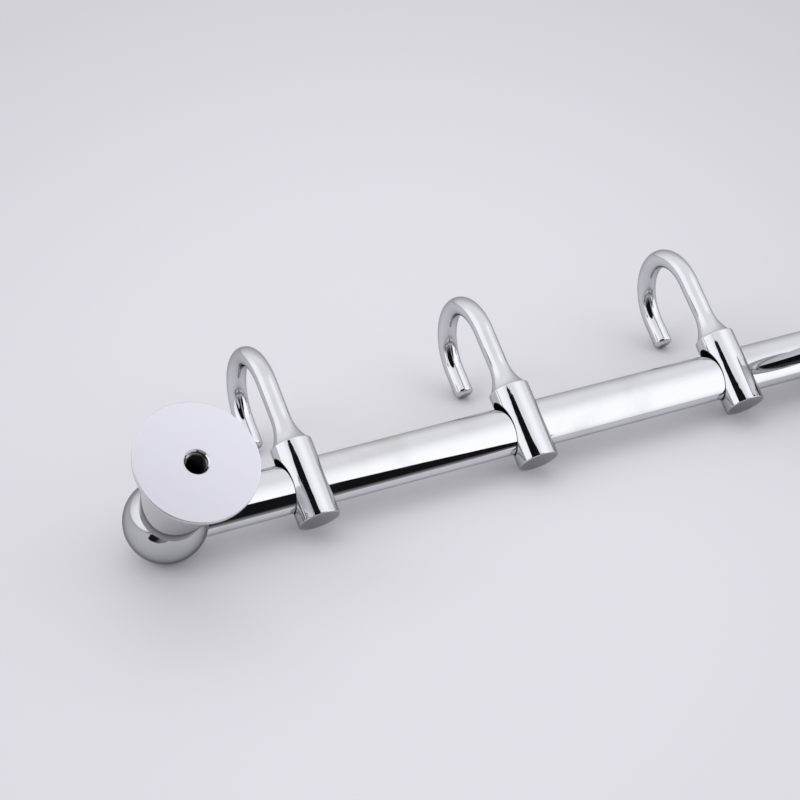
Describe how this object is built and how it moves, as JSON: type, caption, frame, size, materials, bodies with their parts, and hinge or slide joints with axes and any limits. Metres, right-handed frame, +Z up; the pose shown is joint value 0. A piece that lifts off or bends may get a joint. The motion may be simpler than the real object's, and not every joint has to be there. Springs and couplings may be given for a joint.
{
  "type": "towel hook rail",
  "caption": "Wall-fixed elliptical rail between two ball-ended posts, with J-shaped hooks that slide along it for towels and robes.",
  "frame": {"origin": "on the wall face, half way between the two wall holes", "axes": "+X along the rail, +Y into the wall, +Z up as the rail is used"},
  "size_m": [0.425, 0.1185, 0.1073],
  "materials": {
    "rail_chrome": "polished chrome plate",
    "post_chrome": "polished chrome plate",
    "hook_chrome": "polished chrome plate",
    "fixing_steel": "plain zinc-plated steel"
  },
  "bodies": {
    "rail_frame": {"rail": "rail_chrome", "wall_base_left": "post_chrome", "wall_base_right": "post_chrome", "ball_left": "post_chrome", "ball_right": "post_chrome", "joining_stud_left": "fixing_steel", "joining_stud_right": "fixing_steel", "set_screw_left": "fixing_steel", "set_screw_right": "fixing_steel"},
    "hook_1": {"hook_1": "hook_chrome"},
    "hook_2": {"hook_2": "hook_chrome"},
    "hook_3": {"hook_3": "hook_chrome"}
  },
  "joints": [
    {"name": "hook_1_slide", "type": "slide", "parent": "rail_frame", "child": "hook_1", "axis": [1, 0, 0], "range_m": [-0.038, 0.047]},
    {"name": "hook_2_slide", "type": "slide", "parent": "rail_frame", "child": "hook_2", "axis": [1, 0, 0], "range_m": [-0.047, 0.0485]},
    {"name": "hook_3_slide", "type": "slide", "parent": "rail_frame", "child": "hook_3", "axis": [1, 0, 0], "range_m": [-0.0485, 0.038]}
  ]
}
